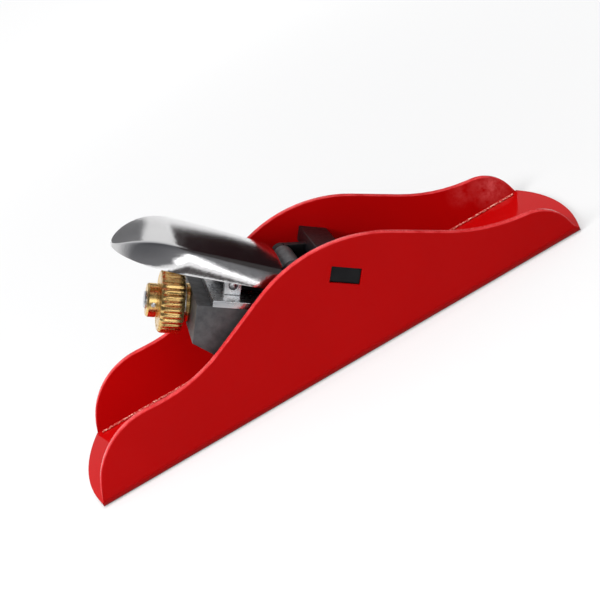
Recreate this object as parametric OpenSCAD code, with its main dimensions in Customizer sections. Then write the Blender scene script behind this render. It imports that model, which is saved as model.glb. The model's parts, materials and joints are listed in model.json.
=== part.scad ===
// Palm plane: a one-hand block plane in a bent sheet-steel body, in millimetres.
// The sole lies on z = 0, the toe points along +X, and the part is symmetric about y = 0.

/* [Body] */
// Length of each side wall along the sole
wall_len = 150; // [140:1:180]
// Width of the body over both walls
body_w = 47; // [46:0.5:60]
// Thickness of the side walls
wall_t = 2.2; // [1.5:0.1:2.5]
// Thickness of the sole, ground flat after bending
sole_t = 1.6; // [1.5:0.1:2.5]
// Inner radius of the bend between wall and sole
bend_r = 0.8; // [0.4:0.1:2]
// How far the toe edge bows out past the walls
toe_bow = 3.75; // [2:0.25:10]
// How far the heel edge bows out past the walls
heel_bow = 3.75; // [2:0.25:10]

/* [Side wall outline] */
// Height of the heel lobe
heel_h = 19.8; // [16:0.2:22]
// Lean of the heel edge over that height
heel_lean = 4.75; // [3:0.25:6]
// Rounding of the heel lobe
heel_r = 23; // [12:0.5:24]
// Corner behind the hump, ahead of the body's middle
waist_x = -37; // [-42:0.5:-30]
// Height of that corner
waist_h = 18; // [14:0.2:20]
// Rounding of that corner
waist_r = 45; // [20:1:60]
// Corner of the hump before rounding, ahead of the middle
hump_x = 10.1; // [6:0.1:14]
// Height of the hump's corner before rounding
hump_h = 39.2; // [36:0.2:42]
// Rounding of the hump
hump_r = 42; // [30:1:48]
// Corner between the hump and the toe, ahead of the middle
dip_x = 51; // [46:0.5:54]
// Height of that corner
dip_h = 14.2; // [12:0.2:18]
// Rounding of that corner
dip_r = 52; // [30:1:60]
// Height of the toe lobe
toe_h = 11.6; // [9:0.1:13]
// Lean of the toe edge over that height
toe_lean = 4.1; // [2:0.1:6]
// Rounding of the toe lobe
toe_r = 11.6; // [6:0.2:12]

/* [Bed and mouth] */
// Angle of the bed above the sole
bed_angle = 36; // [34:0.5:40]
// Where the bed plane meets the sole plane, ahead of the middle
bed_x = 23; // [18:0.5:28]
// Height of the cutting edge above the sole at rest
edge_rest = 0.1; // [0.05:0.05:0.4]
// Gap from the cutting edge to the front of the mouth
mouth_gap = 2.6; // [2:0.1:5]
// Clearance of the blade at the sides and the rear of the mouth
mouth_clear = 0.6; // [0.4:0.1:1]

/* [Frog] */
// Sheet thickness of the frog
frog_t = 2; // [1.5:0.1:2.5]
// Width of the frog over its cheeks
frog_w = 36; // [32:0.5:38]
// Depth of the rear flange below the bed
flange_h = 11; // [10:0.5:13]
// Rear end of the cheeks on the sole, behind the foot of the bed
cheek_back = 41; // [39:0.5:46]
// Front fixing screws, behind the foot of the bed
screw_front = 20; // [18:0.5:21]
// Rear fixing screws, behind the foot of the bed
screw_rear = 35; // [32:0.5:36]
// Distance of the fixing screws from the inner face of the nearest cheek
screw_in = 5; // [4:0.25:7]
// Length of each foot
foot_len = 11; // [9:0.5:12]
// Diameter of the fixing screws
screw_d = 4; // [3:0.5:4]
// Diameter of their countersunk heads
screw_head_d = 6.6; // [5:0.2:8]
// Height of the countersunk heads
screw_head_h = 1.3; // [1:0.1:1.5]
// Width across flats of the fixing nuts
nut_flats = 7; // [6:0.5:7.5]
// Height of the fixing nuts
nut_h = 3.2; // [2.4:0.1:3.6]

/* [Blade] */
// Gap between the blade and each side wall
blade_gap = 1.8; // [1:0.1:3]
// Length of the blade between its two edges
blade_len = 24; // [22:0.5:25]
// Thickness of the blade
blade_t = 1; // [0.6:0.1:1.4]
// Angle ground on each cutting edge
bevel_angle = 25; // [20:1:30]
// Diameter of the blade's locating pins
pin_d = 3; // [2:0.2:4]
// Sideways place of the locating pins
pin_y = 10; // [7:0.5:14]

/* [Blade carrier] */
// Thickness of the carrier
carrier_t = 1.8; // [1.4:0.1:2.2]
// How far the carrier stays inside the blade's ends
carrier_in = 0.5; // [0:0.1:1.5]
// Length of the carrier behind the middle of the drive nut
carrier_tail = 8; // [6:0.5:9]
// Place of the guide studs on the bed
stud_u = 28; // [27.5:0.5:30]
// Sideways place of the guide studs
stud_y = 13.5; // [13:0.25:14]
// Shank diameter of the guide studs
stud_d = 3; // [2:0.25:3.5]
// Head diameter of the guide studs
stud_head_d = 5.2; // [4:0.2:5.6]
// Head height of the guide studs
stud_head_h = 1.2; // [0.8:0.1:1.6]

/* [Clamp plate] */
// Thickness of the clamp plate
clamp_t = 1.2; // [0.8:0.1:1.6]
// How far its wide front stays inside the blade's ends
clamp_in = 0.5; // [0:0.1:2]
// Gap between its neck and the heads of the guide studs
neck_gap = 0.9; // [0.5:0.1:3]
// Gap between its wide front and those heads, with the blade drawn right in
shoulder_gap = 1.4; // [0.5:0.1:3]
// Setback of its front edge from the cutting edge
clamp_back = 1.2; // [0.6:0.1:2]
// Length of the slope on its front edge
clamp_slope = 2; // [1:0.1:3]
// Place of its hinge pin on the bed
pivot_u = 50; // [49.5:0.25:51.5]
// Diameter of its hinge pin
pivot_d = 2.5; // [2:0.1:3]
// Diameter of the rolled knuckle around the pin
knuckle_d = 4.6; // [4.2:0.1:5]
// Thickness of the carrier's ears beside the knuckle
ear_t = 2; // [1.2:0.1:2.2]

/* [Lift spring] */
// Thickness of the leaf spring
spring_t = 0.4; // [0.2:0.05:0.5]
// Width of the leaf spring
spring_w = 7; // [5:0.5:9]
// Front end of the leaf spring on the bed
spring_front = 25; // [24:0.5:28]
// Rear end of the leaf spring on the bed
spring_rear = 41; // [39:0.5:42]
// Diameter of its rivet
rivet_d = 1.8; // [1.4:0.1:2.4]
// Diameter of the rivet's head
rivet_head_d = 3.4; // [3:0.1:4]
// Height of the rivet's head
rivet_head_h = 0.4; // [0.2:0.05:0.4]

/* [Bridge] */
// Middle of the bridge, along the bed
bridge_u = 22.2; // [20:0.2:23]
// Middle of the bridge, above the bed
bridge_up = 12.8; // [12:0.1:14]
// Depth of the bridge, along the bed
bridge_d = 8.5; // [7:0.25:9]
// Thickness of the bridge
bridge_t = 4.5; // [4:0.25:6]
// How far its ends stay inside the walls' outer faces
bridge_inset = 0.6; // [0:0.1:1.2]
// Thickness of its two lugs
lug_t = 3; // [2:0.1:3.5]
// Radius of the lugs around the axle
lug_r = 3; // [2.6:0.1:3.2]

/* [Lever] */
// Place of the lever's axle along the bed
axle_u = 33; // [32:0.25:34]
// Diameter of the lever's axle
axle_d = 3; // [2.5:0.1:3.2]
// Rise of the closed lever over the bed
lever_tilt = 8.5; // [7:0.25:10]
// Top of the closed lever above its axle
lever_top = 2.15; // [1.6:0.05:2.6]
// Front edge of the lever behind its axle
lever_front = 4.5; // [4.4:0.1:6]
// Where the palm end starts to curve, behind the axle
lever_bend = 34; // [30:0.5:38]
// Radius of the palm end's curve
palm_r = 20; // [16:0.5:26]
// Depth of the lever's skirt below the axle
lever_skirt = 5.2; // [5:0.1:6.5]
// Width of the lever's front edge
lever_front_w = 31; // [30:0.5:34]
// Width of the lever's palm end
lever_palm_w = 37; // [34:0.5:38]
// Crown radius across the lever
crown_r = 90; // [60:5:150]
// Rounding of the lever's upper edges
lever_edge_r = 1.6; // [1.5:0.1:3]
// Sheet thickness of the lever
lever_t = 1.4; // [1:0.1:1.4]

/* [Cam] */
// Width of the cam between the bridge's lugs
cam_w = 16; // [12:0.5:16]
// Radius of the cam's lobe
cam_r = 2.6; // [2.2:0.1:2.8]
// Offset of the lobe from the axle
cam_e = 2; // [1.6:0.1:2.2]
// How far the closed cam stands past its highest point
over_centre = 4; // [2:0.5:6]
// Radius of the cam's barrel around the axle
barrel_r = 3; // [2.6:0.1:3.2]
// Length of the arm under the lever
arm_len = 12; // [9:0.5:13]

/* [Blade feed] */
// Gap between the feed screw and the underside of the bed
feed_gap = 0.5; // [0.3:0.1:1]
// Diameter of the feed screw
spindle_d = 5; // [4:0.1:5]
// Travel of the blade down the bed from rest
feed_out = 1.2; // [0.8:0.1:1.6]
// Travel of the blade up the bed from rest
feed_in = 2; // [1:0.1:2.2]
// Middle of the drive nut along the bed
nut_u = 48; // [46:0.25:52]
// Gap between the drive nut and the spindle's ring, with the blade drawn right in
nut_room = 3.3; // [1:0.1:5]
// Length of the drive nut along the bed
nut_len = 8; // [7:0.25:9]
// Width of the drive nut
nut_w = 10.4; // [9:0.2:11]
// Depth of the drive nut below the feed screw
nut_below = 4.5; // [3.6:0.1:5]
// Sideways place of the drive nut's screws
nut_screw_y = 2.6; // [2.4:0.1:2.8]
// Diameter of those screws
nut_screw_d = 2.5; // [2:0.1:2.6]
// Diameter of their heads
nut_head_d = 4.6; // [4:0.1:4.6]
// Length of those screws
nut_screw_len = 3.6; // [3:0.1:3.8]
// Outer diameter of the spindle bush
bush_d = 8; // [7:0.2:9]
// Diameter of the bush's collar
collar_d = 11; // [10:0.2:13]
// Thickness of the bush's collar
collar_t = 1; // [0.6:0.1:1.4]
// Thickness of the thrust washer
washer_t = 0.7; // [0.4:0.1:1.2]
// Diameter of the feed wheel
wheel_d = 18; // [14:0.5:20]
// Width of the feed wheel
wheel_w = 6.5; // [5:0.25:8]
// Chamfer on the feed wheel's rims
wheel_chamfer = 0.7; // [0.3:0.1:1]
// Grooves around the feed wheel
wheel_grooves = 30; // [16:1:36]
// Diameter of each groove's cut
groove_d = 1.1; // [0.8:0.1:1.2]
// Diameter of the feed wheel's hub
hub_d = 9.6; // [8.4:0.2:12]
// Length of the hub behind the wheel
hub_len = 3.5; // [2.5:0.1:5]
// Diameter of the cross pin through the hub
cross_pin_d = 1.6; // [1:0.1:2]
// How far the spindle stands out of the nut's front, with the blade right out
spindle_tip = 1; // [0.5:0.1:2]
// How far the spindle stands out of the hub
spindle_end = 0.6; // [0.2:0.1:2]

/* [Fits] */
// Radial clearance of running fits
run_clear = 0.05; // [0.03:0.01:0.1]
// Clearance between faces that slide or turn past each other
face_clear = 0.1; // [0.05:0.05:0.2]
// Gap under the closed cam
cam_clear = 0.2; // [0.2:0.02:0.3]
// Side gap between the cam, the knuckle and what carries them
side_clear = 0.3; // [0.2:0.05:0.4]
// Clearance around parts that travel in slots
slot_clear = 0.3; // [0.2:0.05:0.5]
// Thickness of the retaining rings
ring_t = 0.6; // [0.4:0.1:0.8]
// Depth of the ring grooves
ring_depth = 0.4; // [0.2:0.05:0.5]
// Radial width of the retaining rings
ring_w = 1.7; // [1.2:0.1:2]

/* [Hidden] */
$fn = 64;
arc_step = 4;
above = 60;
below = 4;
over = 1;
ring_mouth = 0.8;
eps = 0.01;

toe_arc_r = (body_w * body_w / 4 + toe_bow * toe_bow) / (2 * toe_bow);
heel_arc_r = (body_w * body_w / 4 + heel_bow * heel_bow) / (2 * heel_bow);
inner_w = body_w - 2 * wall_t;
outer_r = bend_r + max(wall_t, sole_t);
blade_w = inner_w - 2 * blade_gap;
carrier_w = blade_w - 2 * carrier_in;
clamp_w = blade_w - 2 * clamp_in;

carrier_low = face_clear / 2;
carrier_top = carrier_low + carrier_t;
blade_top = carrier_top + blade_t;
clamp_top = blade_top + clamp_t;
edge_u = (edge_rest - blade_top * cos(bed_angle)) / sin(bed_angle);
edge_x = bed_x - edge_u * cos(bed_angle) + blade_top * sin(bed_angle);
blade_mid = edge_u + blade_len / 2;
mouth_front = edge_x + mouth_gap;
mouth_rear = bed_x + (carrier_top / sin(bed_angle)) - sole_t / tan(bed_angle) - mouth_clear;
mouth_w = blade_w + 2 * mouth_clear;
carrier_floor = sole_t + feed_out * sin(bed_angle) + slot_clear;

foot_top = sole_t + frog_t;
screw_front_x = bed_x - screw_front;
screw_rear_x = bed_x - screw_rear;
cheek_rear_x = bed_x - cheek_back;
screw_y = frog_w / 2 - frog_t - screw_in;
neck_w = 2 * (stud_y - neck_gap) - stud_head_d;
shoulder_u = stud_u - stud_head_d / 2 - feed_in - shoulder_gap;
axle_w = clamp_top + cam_clear + cam_e * cos(over_centre) + cam_r;
lug_in = cam_w / 2 + side_clear;
lug_out = lug_in + lug_t;
axle_ring = lug_out + face_clear;
axle_half = axle_ring + 2 * ring_t;
pivot_w = carrier_top + slot_clear + knuckle_d / 2;
ear_in = neck_w / 2 + side_clear;
ear_out = ear_in + ear_t;
lever_end = lever_bend + sqrt(palm_r * palm_r - pow(palm_r - lever_top - lever_skirt, 2));

feed_depth = frog_t + feed_gap + spindle_d / 2;
nut_front = nut_u - nut_len / 2;
nut_rear = nut_u + nut_len / 2;
carrier_end = nut_u + carrier_tail;
clip_rear = nut_rear + feed_in + nut_room + ring_t;
flange_front = clip_rear + face_clear;
frog_len = flange_front + frog_t;
collar_rear = frog_len + collar_t;
washer_front = collar_rear + face_clear;
wheel_front = washer_front + washer_t;
wheel_rear = wheel_front + wheel_w;
hub_rear = wheel_rear + hub_len;
spindle_front = nut_front - feed_out - spindle_tip;

// Rounded corner p between its neighbours a and b: points on an arc of radius r, or of what fits there
function unit(v) = v / norm(v);
function turn_at(a, p, b) = let (d = unit(p - a), e = unit(b - p)) atan2(d.x * e.y - d.y * e.x, d * e);
function corner(a, p, b, r) =
    let (
        d = unit(p - a),
        turn = turn_at(a, p, b),
        room = min(norm(p - a), norm(b - p)),
        fit = min(r, room / tan(abs(turn) / 2)),
        start = p - d * fit * tan(abs(turn) / 2),
        centre = start + sign(turn) * fit * [-d.y, d.x],
        first = atan2(start.y - centre.y, start.x - centre.x),
        steps = ceil(abs(turn) / arc_step)
    )
    [for (k = [0:steps]) centre + fit * [cos(first + turn * k / steps), sin(first + turn * k / steps)]];

// Point of the bed frame, in side view: u up along the bed, w square to it
function bed_point(u, w) = [
    bed_x - u * cos(bed_angle) + w * sin(bed_angle),
    u * sin(bed_angle) + w * cos(bed_angle)
];

// The bed frame: x runs up along the bed, z stands square on it
module on_bed() {
    translate([bed_x, 0, 0]) rotate([0, 0, 180]) rotate([0, -bed_angle, 0]) children();
}

// The closed lever's frame: x runs back along the lever from its axle
module on_lever() {
    on_bed() translate([axle_u, 0, axle_w]) rotate([0, -lever_tilt, 0]) children();
}

// The feed screw's frame: z runs up along the screw
module on_feed() {
    on_bed() translate([0, 0, -feed_depth]) rotate([0, 90, 0]) children();
}

// A side-view shape, given width across the plane
module across(width) {
    rotate([90, 0, 0]) linear_extrude(width, center = true) children();
}

// Two copies, one for each side
module both_sides(y) {
    for (side = [-1, 1]) translate([0, side * y, 0]) children();
}

// Cylinder along y, centred
module cross_bar(d, len) {
    rotate([90, 0, 0]) cylinder(d = d, h = len, center = true);
}

// Countersunk head and shank, head face at z = 0, pointing up
module flat_screw(d, head_d, head_h, len) {
    cylinder(d1 = head_d, d2 = d, h = head_h);
    cylinder(d = d, h = len);
}

// Open retaining ring on z, from z = 0 up
module retaining_ring(shaft_d) {
    inner = shaft_d - 2 * ring_depth;
    mouth = inner * ring_mouth;
    difference() {
        cylinder(d = inner + 2 * ring_w, h = ring_t);
        translate([0, 0, -over]) cylinder(d = inner, h = ring_t + 2 * over);
        translate([0, -mouth / 2, -over]) cube([shaft_d + ring_w, mouth, ring_t + 2 * over]);
    }
}

// Groove for a retaining ring, from z = 0 up
module ring_groove(shaft_d) {
    difference() {
        cylinder(d = shaft_d + 2 * over, h = ring_t);
        translate([0, 0, -over]) cylinder(d = shaft_d - 2 * ring_depth, h = ring_t + 2 * over);
    }
}

module wall_outline() {
    heel = [-wall_len / 2, 0];
    heel_top = [-wall_len / 2 + heel_lean, heel_h];
    waist = [waist_x, waist_h];
    hump = [hump_x, hump_h];
    dip = [dip_x, dip_h];
    toe_top = [wall_len / 2 - toe_lean, toe_h];
    toe = [wall_len / 2, 0];
    polygon(concat(
        [heel - [0, below], heel],
        corner(heel, heel_top, waist, heel_r),
        corner(heel_top, waist, hump, waist_r),
        corner(waist, hump, dip, hump_r),
        corner(hump, dip, toe_top, dip_r),
        corner(dip, toe_top, toe, toe_r),
        [toe, toe - [0, below]]
    ));
}

module bowed_end(bow, arc_r) {
    intersection() {
        translate([wall_len / 2 + bow - arc_r, 0]) circle(r = arc_r);
        translate([wall_len / 2 - bow, -body_w / 2]) square([2 * bow, body_w]);
    }
}

module sole_outline() {
    square([wall_len, body_w], center = true);
    bowed_end(toe_bow, toe_arc_r);
    mirror([1, 0]) bowed_end(heel_bow, heel_arc_r);
}

module channel_section() {
    half = body_w / 2;
    difference() {
        union() {
            translate([-half, sole_t + bend_r]) square([body_w, above]);
            translate([outer_r - half, 0]) square([body_w - 2 * outer_r, above]);
            for (side = [-1, 1])
                translate([side * (half - outer_r), sole_t + bend_r]) circle(r = outer_r);
        }
        translate([-body_w, -above]) square([2 * body_w, above]);
        translate([-inner_w / 2, sole_t + bend_r]) square([inner_w, above]);
        translate([-inner_w / 2 + bend_r, sole_t]) square([inner_w - 2 * bend_r, above]);
        for (side = [-1, 1])
            translate([side * (inner_w / 2 - bend_r), sole_t + bend_r]) circle(r = bend_r);
    }
}

module fixing_places() {
    for (x = [screw_front_x, screw_rear_x])
        both_sides(screw_y) translate([x, 0, 0]) children();
}

module bridge_bar(len) {
    on_bed() translate([bridge_u, 0, bridge_up]) cube([bridge_d, len, bridge_t], center = true);
}

module channel() {
    rotate([90, 0, 90]) linear_extrude(2 * wall_len, center = true) channel_section();
}

module body_channel() {
    color("firebrick")
    difference() {
        union() {
            intersection() {
                channel();
                across(body_w + 2 * over) wall_outline();
            }
            intersection() {
                channel();
                translate([0, 0, -below]) linear_extrude(below + sole_t) sole_outline();
            }
        }
        translate([mouth_rear, -mouth_w / 2, -over])
            cube([mouth_front - mouth_rear, mouth_w, sole_t + 2 * over]);
        bridge_bar(body_w + 2 * over);
        fixing_places() {
            flat_screw(screw_d, screw_head_d, screw_head_h, sole_t + over);
            translate([0, 0, -over]) cylinder(d = screw_d, h = sole_t + 2 * over);
        }
    }
}

module cheek_outline() {
    polygon([
        bed_point(sole_t / sin(bed_angle), 0),
        bed_point(frog_len, 0),
        bed_point(frog_len, -flange_h),
        [cheek_rear_x, sole_t]
    ]);
}

module frog() {
    color("dimgray")
    difference() {
        union() {
            intersection() {
                on_bed() translate([0, -frog_w / 2, -frog_t]) cube([frog_len, frog_w, frog_t]);
                translate([-wall_len, -body_w, sole_t]) cube([2 * wall_len, 2 * body_w, above]);
            }
            both_sides(frog_w / 2 - frog_t / 2) across(frog_t) cheek_outline();
            on_bed() translate([flange_front, -frog_w / 2, -flange_h]) cube([frog_t, frog_w, flange_h]);
            for (x = [screw_front_x, screw_rear_x], side = [0, 1])
                mirror([0, side, 0])
                    translate([x - foot_len / 2, screw_y - nut_flats / 2 - slot_clear, sole_t])
                        cube([foot_len, frog_w / 2 - screw_y + nut_flats / 2 + slot_clear, frog_t]);
        }
        on_bed() {
            translate([nut_front - feed_out - slot_clear, -nut_w / 2 - slot_clear, -frog_t - over])
                cube([
                    nut_len + feed_out + feed_in + 2 * slot_clear,
                    nut_w + 2 * slot_clear,
                    frog_t + 2 * over
                ]);
            both_sides(stud_y) translate([stud_u, 0, -frog_t - over])
                cylinder(d = stud_d, h = frog_t + 2 * over);
        }
        on_feed() translate([0, 0, flange_front - over]) cylinder(d = bush_d, h = frog_t + 2 * over);
        fixing_places() translate([0, 0, sole_t - over]) cylinder(d = screw_d, h = frog_t + 2 * over);
    }
}

module frog_screws() {
    slot_w = screw_d / 4;
    color("silver")
    fixing_places()
        difference() {
            flat_screw(screw_d, screw_head_d, screw_head_h, foot_top + nut_h);
            translate([-screw_head_d / 2, -slot_w / 2, -over])
                cube([screw_head_d, slot_w, over + screw_head_h / 2]);
        }
}

module frog_nuts() {
    color("silver")
    fixing_places()
        translate([0, 0, foot_top])
            difference() {
                cylinder(d = nut_flats / cos(30), h = nut_h, $fn = 6);
                translate([0, 0, -over]) cylinder(d = screw_d, h = nut_h + 2 * over);
            }
}

module lug_outline() {
    bar_low = bridge_up - bridge_t / 2;
    bar_rear = bridge_u + bridge_d / 2;
    lean = 70;
    translate([axle_u, axle_w]) circle(r = lug_r);
    polygon([
        [bridge_u, bar_low],
        [axle_u - lug_r * cos(lean), axle_w - lug_r * sin(lean)],
        [axle_u + lug_r * cos(lean), axle_w + lug_r * sin(lean)],
        [bar_rear, bridge_up],
        [bridge_u, bridge_up]
    ]);
}

module bridge() {
    color("#26262a")
    difference() {
        union() {
            bridge_bar(body_w - 2 * bridge_inset);
            on_bed() both_sides((lug_in + lug_out) / 2) across(lug_t) lug_outline();
        }
        on_bed() translate([axle_u, 0, axle_w]) cross_bar(axle_d, body_w);
    }
}

module lever_axle() {
    color("silver")
    on_bed() translate([axle_u, 0, axle_w])
        difference() {
            cross_bar(axle_d, 2 * axle_half);
            for (side = [0, 1])
                mirror([0, side, 0]) translate([0, axle_ring, 0]) rotate([-90, 0, 0]) ring_groove(axle_d);
        }
}

module axle_clips() {
    color("dimgray")
    on_bed() translate([axle_u, 0, axle_w])
        for (side = [0, 1])
            mirror([0, side, 0]) translate([0, axle_ring, 0]) rotate([-90, 0, 0]) retaining_ring(axle_d);
}

module guide_studs() {
    color("silver")
    on_bed() both_sides(stud_y) translate([stud_u, 0, -frog_t]) {
        cylinder(d = stud_d, h = frog_t + carrier_top + face_clear + stud_head_h);
        translate([0, 0, frog_t + carrier_top + face_clear]) cylinder(d = stud_head_d, h = stud_head_h);
    }
}

module spindle_bush() {
    color("goldenrod")
    on_feed() difference() {
        union() {
            translate([0, 0, flange_front]) cylinder(d = bush_d, h = frog_t);
            translate([0, 0, frog_len]) cylinder(d = collar_d, h = collar_t);
        }
        translate([0, 0, flange_front - over]) cylinder(d = spindle_d + 2 * run_clear, h = above);
    }
}

// Solid form of the lever, drawn in by a sheet thickness for the hollow inside it
module lever_form(inset, front, low) {
    top = lever_top - inset;
    palm_half = lever_palm_w / 2 - inset;
    front_half = lever_front_w / 2 - inset;
    edge_r = lever_edge_r - inset;
    intersection() {
        across(body_w) {
            translate([front, -low]) square([lever_bend - front, top + low]);
            intersection() {
                translate([lever_bend, lever_top - palm_r]) circle(r = palm_r - inset);
                translate([lever_bend - eps, -low]) square([above, above]);
            }
        }
        rotate([90, 0, 90]) linear_extrude(above) intersection() {
            translate([0, lever_top - crown_r]) circle(r = crown_r - inset, $fn = 180);
            union() {
                translate([-palm_half, -low]) square([2 * palm_half, low + top - edge_r]);
                translate([-palm_half + edge_r, -low]) square([2 * (palm_half - edge_r), low + top]);
                for (side = [-1, 1])
                    translate([side * (palm_half - edge_r), top - edge_r]) circle(r = edge_r);
            }
        }
        translate([0, 0, -low]) linear_extrude(above) {
            polygon([
                [front, -front_half], [lever_end - lever_palm_w / 2, -palm_half],
                [lever_end - lever_palm_w / 2, palm_half], [front, front_half]
            ]);
            translate([lever_end - lever_palm_w / 2, 0]) circle(r = palm_half);
        }
    }
}

module palm_lever() {
    color("gainsboro")
    on_lever() difference() {
        lever_form(0, lever_front, lever_skirt);
        lever_form(lever_t, lever_front - lever_t, lever_skirt + over);
    }
}

module lever_cam() {
    lobe = -90 - over_centre;
    color("gray")
    difference() {
        union() {
            on_bed() translate([axle_u, 0, axle_w]) across(cam_w) {
                circle(r = barrel_r);
                translate(cam_e * [cos(lobe), sin(lobe)]) circle(r = cam_r);
            }
            on_lever() intersection() {
                lever_form(lever_t, axle_d / 2, lever_skirt);
                translate([axle_d / 2, -cam_w / 2, -barrel_r]) cube([arm_len, cam_w, above]);
            }
        }
        on_bed() translate([axle_u, 0, axle_w]) cross_bar(axle_d + 2 * run_clear, body_w);
    }
}

module ear_outline() {
    translate([pivot_u, pivot_w]) circle(d = knuckle_d);
    translate([pivot_u - knuckle_d / 2, carrier_low]) square([knuckle_d, pivot_w - carrier_low]);
}

module stud_slot() {
    width = stud_d + 2 * slot_clear;
    translate([stud_u - feed_in, 0, 0]) cylinder(d = width, h = above, center = true);
    translate([stud_u + feed_out, 0, 0]) cylinder(d = width, h = above, center = true);
    translate([stud_u - feed_in, -width / 2, -above / 2]) cube([feed_in + feed_out, width, above]);
}

module blade_carrier() {
    color("darkgray")
    difference() {
        union() {
            intersection() {
                on_bed() translate([0, -carrier_w / 2, carrier_low])
                    cube([carrier_end, carrier_w, carrier_t]);
                translate([-wall_len, -body_w, carrier_floor]) cube([2 * wall_len, 2 * body_w, above]);
            }
            on_bed() both_sides((ear_in + ear_out) / 2) across(ear_t) ear_outline();
        }
        on_bed() {
            both_sides(stud_y) stud_slot();
            both_sides(pin_y) translate([blade_mid, 0, 0]) cylinder(d = pin_d, h = above, center = true);
            both_sides(nut_screw_y) translate([nut_u, 0, carrier_top]) rotate([180, 0, 0]) nut_screw();
            translate([(spring_rear + spring_bend()) / 2, 0, 0]) cylinder(d = rivet_d, h = above, center = true);
            translate([pivot_u, 0, pivot_w]) cross_bar(pivot_d, body_w);
        }
    }
}

module blade_pins() {
    color("silver")
    on_bed() both_sides(pin_y) translate([blade_mid, 0, carrier_low])
        cylinder(d = pin_d, h = blade_top - carrier_low - face_clear);
}

module blade() {
    bevel = blade_t / tan(bevel_angle);
    color("lightsteelblue")
    on_bed() difference() {
        across(blade_w) polygon([
            [edge_u, blade_top], [edge_u + blade_len, blade_top],
            [edge_u + blade_len - bevel, carrier_top], [edge_u + bevel, carrier_top]
        ]);
        both_sides(pin_y) translate([blade_mid, 0, 0])
            cylinder(d = pin_d + 2 * run_clear, h = above, center = true);
    }
}

module clamp_plate() {
    front = edge_u + clamp_back;
    color("#3a3a40")
    on_bed() difference() {
        union() {
            across(clamp_w) polygon([
                [front, blade_top], [shoulder_u, blade_top],
                [shoulder_u, clamp_top], [front + clamp_slope, clamp_top]
            ]);
            translate([shoulder_u - eps, -neck_w / 2, blade_top]) cube([pivot_u - shoulder_u, neck_w, clamp_t]);
            translate([pivot_u, 0, pivot_w]) cross_bar(knuckle_d, neck_w);
        }
        translate([pivot_u, 0, pivot_w]) cross_bar(pivot_d + 2 * run_clear, body_w);
    }
}

module clamp_pivot() {
    color("silver")
    on_bed() translate([pivot_u, 0, pivot_w]) cross_bar(pivot_d, 2 * ear_out);
}

// Where the leaf spring leaves the carrier
function spring_bend() = spring_rear - rivet_head_d - 2 * slot_clear;

module lift_spring() {
    tip = blade_top - face_clear;
    color("slategray")
    on_bed() difference() {
        across(spring_w) polygon([
            [spring_rear, carrier_top], [spring_rear, carrier_top + spring_t],
            [spring_bend(), carrier_top + spring_t], [spring_front, tip],
            [spring_front, tip - spring_t], [spring_bend(), carrier_top]
        ]);
        translate([(spring_rear + spring_bend()) / 2, 0, 0]) cylinder(d = rivet_d, h = above, center = true);
    }
}

module spring_rivet() {
    color("silver")
    on_bed() translate([(spring_rear + spring_bend()) / 2, 0, carrier_low]) {
        cylinder(d = rivet_d, h = carrier_t + spring_t);
        translate([0, 0, carrier_t + spring_t]) cylinder(d = rivet_head_d, h = rivet_head_h);
    }
}

module nut_screw() {
    flat_screw(nut_screw_d, nut_head_d, (nut_head_d - nut_screw_d) / 2, nut_screw_len);
}

module drive_nut() {
    color("goldenrod")
    difference() {
        on_bed() translate([nut_front, -nut_w / 2, -feed_depth - nut_below])
            cube([nut_len, nut_w, feed_depth + nut_below + carrier_low]);
        on_feed() cylinder(d = spindle_d + 2 * run_clear, h = above);
        on_bed() both_sides(nut_screw_y) translate([nut_u, 0, carrier_top]) rotate([180, 0, 0]) nut_screw();
    }
}

module nut_screws() {
    slot_w = nut_screw_d / 4;
    color("silver")
    on_bed() both_sides(nut_screw_y) translate([nut_u, 0, carrier_top]) rotate([180, 0, 0])
        difference() {
            nut_screw();
            translate([-nut_head_d / 2, -slot_w / 2, -over]) cube([nut_head_d, slot_w, over + slot_w]);
        }
}

module cross_pin_hole() {
    translate([0, 0, wheel_rear + hub_len / 2]) cross_bar(cross_pin_d, wheel_d);
}

module feed_spindle() {
    color("silver")
    on_feed() difference() {
        translate([0, 0, spindle_front]) cylinder(d = spindle_d, h = hub_rear + spindle_end - spindle_front);
        translate([0, 0, clip_rear - ring_t]) ring_groove(spindle_d);
        cross_pin_hole();
    }
}

module feed_wheel() {
    rim = wheel_d / 2;
    color("goldenrod")
    on_feed() difference() {
        rotate_extrude() polygon([
            [spindle_d / 2, wheel_front], [rim - wheel_chamfer, wheel_front],
            [rim, wheel_front + wheel_chamfer], [rim, wheel_rear - wheel_chamfer],
            [rim - wheel_chamfer, wheel_rear], [hub_d / 2, wheel_rear],
            [hub_d / 2, hub_rear], [spindle_d / 2, hub_rear]
        ]);
        for (k = [1:wheel_grooves])
            rotate(k * 360 / wheel_grooves) translate([rim + groove_d / 4, 0, wheel_front - over])
                cylinder(d = groove_d, h = wheel_w + 2 * over, $fn = 16);
        cross_pin_hole();
    }
}

module wheel_pin() {
    color("dimgray")
    on_feed() intersection() {
        cross_pin_hole();
        cylinder(d = hub_d, h = hub_rear);
    }
}

module thrust_washer() {
    color("silver")
    on_feed() translate([0, 0, washer_front]) difference() {
        cylinder(d = collar_d, h = washer_t);
        translate([0, 0, -over]) cylinder(d = spindle_d, h = washer_t + 2 * over);
    }
}

module spindle_clip() {
    color("dimgray")
    on_feed() translate([0, 0, clip_rear - ring_t]) retaining_ring(spindle_d);
}

body_channel();
frog();
frog_screws();
frog_nuts();
bridge();
lever_axle();
axle_clips();
guide_studs();
spindle_bush();
palm_lever();
lever_cam();
blade_carrier();
blade();
blade_pins();
clamp_plate();
clamp_pivot();
lift_spring();
spring_rivet();
drive_nut();
nut_screws();
feed_spindle();
feed_wheel();
wheel_pin();
thrust_washer();
spindle_clip();
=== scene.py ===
import json
import math
import bmesh
import bpy
from mathutils import Matrix, Quaternion, Vector

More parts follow.
